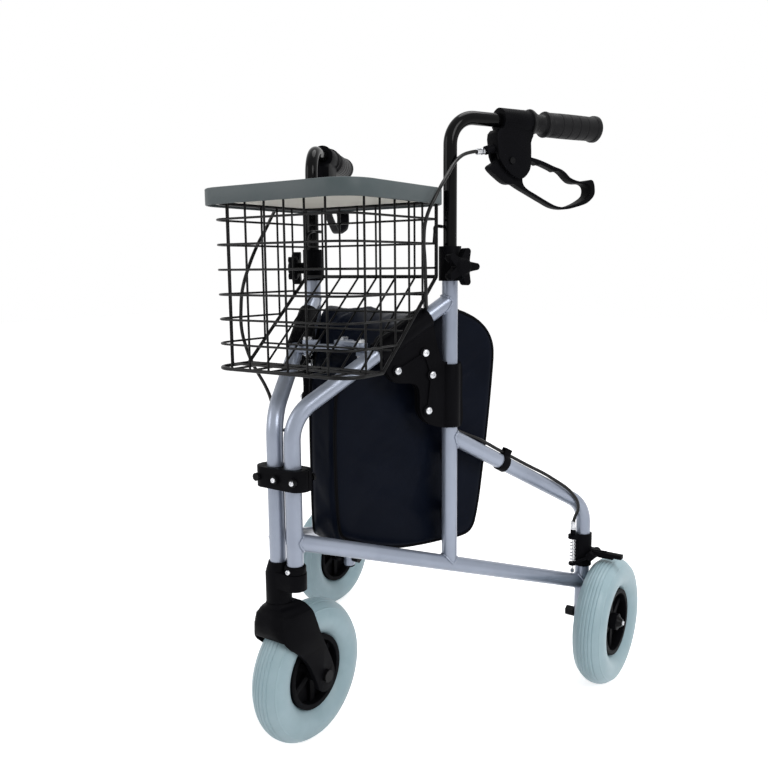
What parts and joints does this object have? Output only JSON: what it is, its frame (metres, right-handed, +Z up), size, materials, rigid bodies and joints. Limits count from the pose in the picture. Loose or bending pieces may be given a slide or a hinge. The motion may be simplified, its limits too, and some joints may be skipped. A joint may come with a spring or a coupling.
{
  "type": "three wheel rollator",
  "caption": "Folding rollator with splayed tube frames on a castor fork, loop brakes, height-set handles, wire basket, lift-off tray and a soft bag between the frames.",
  "frame": {"origin": "on the floor, under the middle of the bounding box", "axes": "+Z up, -Y the direction of travel, +X the user's left"},
  "size_m": [0.6106, 0.59, 0.878],
  "materials": {
    "frame_silver": "satin silver paint",
    "tube_black": "gloss black paint",
    "plastic_black": "moulded, fine texture",
    "grip_rubber": "soft moulded",
    "tyre_grey": "smooth grooved",
    "zinc": "bright zinc",
    "wire_black": "plastic dipped wire",
    "tray_grey": "fine moulded",
    "bag_cloth": "satin coated nylon",
    "cable_sheath": "smooth sheath"
  },
  "bodies": {
    "head": {"fork_head": "plastic_black", "hinge_clamp_front": "plastic_black", "hinge_clamp_rear": "plastic_black", "hinge_clamp_bolts": "zinc", "bag": "bag_cloth"},
    "fork": {"fork": "plastic_black", "front_axle": "zinc"},
    "front_wheel": {"front_hub": "plastic_black", "front_tyre": "tyre_grey"},
    "left_frame": {"left_front_tube": "frame_silver", "left_upright": "frame_silver", "left_lower_tube": "frame_silver", "left_rear_stay": "frame_silver", "left_gusset_outer": "plastic_black", "left_gusset_inner": "plastic_black", "left_height_collar": "plastic_black", "left_cable_clip": "plastic_black", "left_brake_bracket": "plastic_black", "left_rear_axle": "zinc", "left_brake_cable": "cable_sheath", "left_brake_spring": "zinc"},
    "left_handle": {"left_handle_tube": "tube_black", "left_grip": "grip_rubber", "left_brake_housing": "plastic_black", "left_lever_pin": "zinc"},
    "left_knob": {"left_height_knob": "plastic_black"},
    "left_lever": {"left_brake_lever": "plastic_black"},
    "left_brake": {"left_brake_arm": "plastic_black"},
    "left_wheel": {"left_rear_hub": "plastic_black", "left_rear_tyre": "tyre_grey"},
    "left_brace": {"left_brace_link": "frame_silver"},
    "right_frame": {"right_front_tube": "frame_silver", "right_upright": "frame_silver", "right_lower_tube": "frame_silver", "right_rear_stay": "frame_silver", "right_gusset_outer": "plastic_black", "right_gusset_inner": "plastic_black", "right_height_collar": "plastic_black", "right_cable_clip": "plastic_black", "right_brake_bracket": "plastic_black", "right_rear_axle": "zinc", "right_brake_cable": "cable_sheath", "right_brake_spring": "zinc"},
    "right_handle": {"right_handle_tube": "tube_black", "right_grip": "grip_rubber", "right_brake_housing": "plastic_black", "right_lever_pin": "zinc"},
    "right_knob": {"right_height_knob": "plastic_black"},
    "right_lever": {"right_brake_lever": "plastic_black"},
    "right_brake": {"right_brake_arm": "plastic_black"},
    "right_wheel": {"right_rear_hub": "plastic_black", "right_rear_tyre": "tyre_grey"},
    "right_brace": {"right_brace_link": "frame_silver"},
    "basket": {"basket_front_panel": "wire_black", "basket_left_panel": "wire_black", "basket_right_panel": "wire_black", "basket_floor_panel": "wire_black", "basket_slope_panel": "wire_black", "basket_back_panel": "wire_black"},
    "tray": {"tray": "tray_grey"}
  },
  "joints": [
    {"name": "fork_swivel", "type": "hinge", "parent": "head", "child": "fork", "pos_m": [-0.015, -0.249, 0.23], "axis": [0, 0, 1], "continuous": true},
    {"name": "front_wheel_spin", "type": "hinge", "parent": "fork", "child": "front_wheel", "pos_m": [-0.015, -0.195, 0.1], "axis": [1, 0, 0], "continuous": true},
    {"name": "left_fold", "type": "hinge", "parent": "head", "child": "left_frame", "pos_m": [0.015, -0.249, 0.39], "axis": [0, 0, 1], "range_deg": [0, 18], "deforming": ["bag"]},
    {"name": "left_brace_swing", "type": "hinge", "parent": "left_frame", "child": "left_brace", "pos_m": [0.04707, -0.13984, 0.554], "axis": [0, 0, 1], "range_deg": [-70, 0]},
    {"name": "left_handle_height", "type": "slide", "parent": "left_frame", "child": "left_handle", "axis": [0, 0, 1], "range_m": [-0.0675, 0.0675], "deforming": ["left_brake_cable"]},
    {"name": "left_knob_turn", "type": "hinge", "parent": "left_frame", "child": "left_knob", "pos_m": [0.14715, -0.04671, 0.66], "axis": [0.8949, -0.4462, 0], "range_deg": [0, 360]},
    {"name": "left_lever_squeeze", "type": "hinge", "parent": "left_handle", "child": "left_lever", "pos_m": [0.16448, 0.0508, 0.806], "axis": [0.8949, -0.4462, 0], "range_deg": [0, 16], "stiffness_Nm_per_rad": 1.5, "springref_deg": -5.73},
    {"name": "left_brake_press", "type": "hinge", "parent": "left_frame", "child": "left_brake", "pos_m": [0.25687, 0.181, 0.206], "axis": [0, 1, 0], "range_deg": [0, 11.5], "deforming": ["left_brake_spring"]},
    {"name": "left_wheel_spin", "type": "hinge", "parent": "left_frame", "child": "left_wheel", "pos_m": [0.279, 0.195, 0.1], "axis": [1, 0, 0], "continuous": true},
    {"name": "right_fold", "type": "hinge", "parent": "head", "child": "right_frame", "pos_m": [-0.015, -0.249, 0.39], "axis": [0, 0, 1], "range_deg": [-18, 0]},
    {"name": "right_brace_swing", "type": "hinge", "parent": "right_frame", "child": "right_brace", "pos_m": [-0.04707, -0.13984, 0.554], "axis": [0, 0, 1], "range_deg": [0, 70]},
    {"name": "right_handle_height", "type": "slide", "parent": "right_frame", "child": "right_handle", "axis": [0, 0, 1], "range_m": [-0.045, 0.09], "deforming": ["right_brake_cable"]},
    {"name": "right_knob_turn", "type": "hinge", "parent": "right_frame", "child": "right_knob", "pos_m": [-0.14715, -0.04671, 0.66], "axis": [-0.8949, -0.4462, 0], "range_deg": [0, 360]},
    {"name": "right_lever_squeeze", "type": "hinge", "parent": "right_handle", "child": "right_lever", "pos_m": [-0.16448, 0.0508, 0.7835], "axis": [0.8949, 0.4462, 0], "range_deg": [0, 16], "stiffness_Nm_per_rad": 1.5, "springref_deg": -5.73},
    {"name": "right_brake_press", "type": "hinge", "parent": "right_frame", "child": "right_brake", "pos_m": [-0.25687, 0.181, 0.206], "axis": [0, -1, 0], "range_deg": [0, 11.5], "deforming": ["right_brake_spring"]},
    {"name": "right_wheel_spin", "type": "hinge", "parent": "right_frame", "child": "right_wheel", "pos_m": [-0.279, 0.195, 0.1], "axis": [1, 0, 0], "continuous": true},
    {"name": "basket_lift", "type": "slide", "parent": "head", "child": "basket", "axis": [0, 0, 1], "range_m": [0, 0.15]},
    {"name": "tray_lift", "type": "slide", "parent": "basket", "child": "tray", "axis": [0, 0, 1], "range_m": [0, 0.1]}
  ],
  "couplings": [
    {"joint": "left_brake_press", "follows": "left_lever_squeeze", "ratio": 0.71875},
    {"joint": "right_brake_press", "follows": "right_lever_squeeze", "ratio": 0.71875},
    {"joint": "right_fold", "follows": "left_fold", "ratio": -1},
    {"joint": "left_brace_swing", "follows": "left_fold", "ratio": -3.883},
    {"joint": "right_brace_swing", "follows": "left_fold", "ratio": 3.883}
  ]
}
